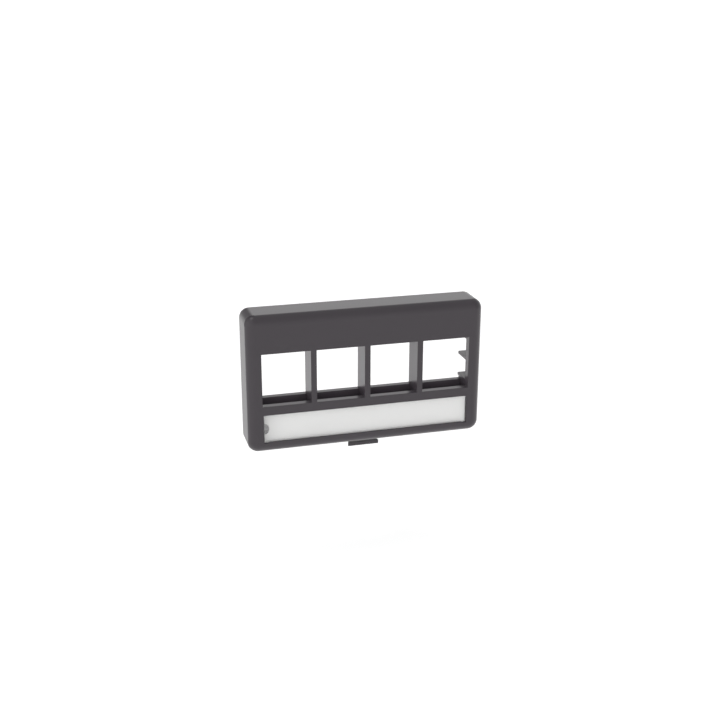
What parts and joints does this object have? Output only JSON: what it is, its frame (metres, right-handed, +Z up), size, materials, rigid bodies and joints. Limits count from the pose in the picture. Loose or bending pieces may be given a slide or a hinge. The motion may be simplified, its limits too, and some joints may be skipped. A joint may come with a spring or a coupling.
{
  "type": "keystone furniture faceplate",
  "caption": "Snap-in faceplate with a row of keystone jack ports over a covered label strip, for the standard cut-out in office furniture panels.",
  "frame": {"origin": "centre of the plate in the plane of its rear rim, which is also the centre of the furniture cut-out at the panel's front surface", "axes": "+X along the width, +Z up, -Y out of the front face, +Y into the furniture panel"},
  "size_m": [0.0762, 0.0164, 0.0473],
  "materials": {
    "moulded_plastic": "dark grey moulded ABS, semi-gloss",
    "paper": "plain white paper, blank",
    "clear_plastic": "clear moulded polycarbonate, smooth"
  },
  "bodies": {
    "root": {"faceplate": "moulded_plastic", "label_strip": "paper", "label_cover": "clear_plastic"}
  },
  "joints": []
}
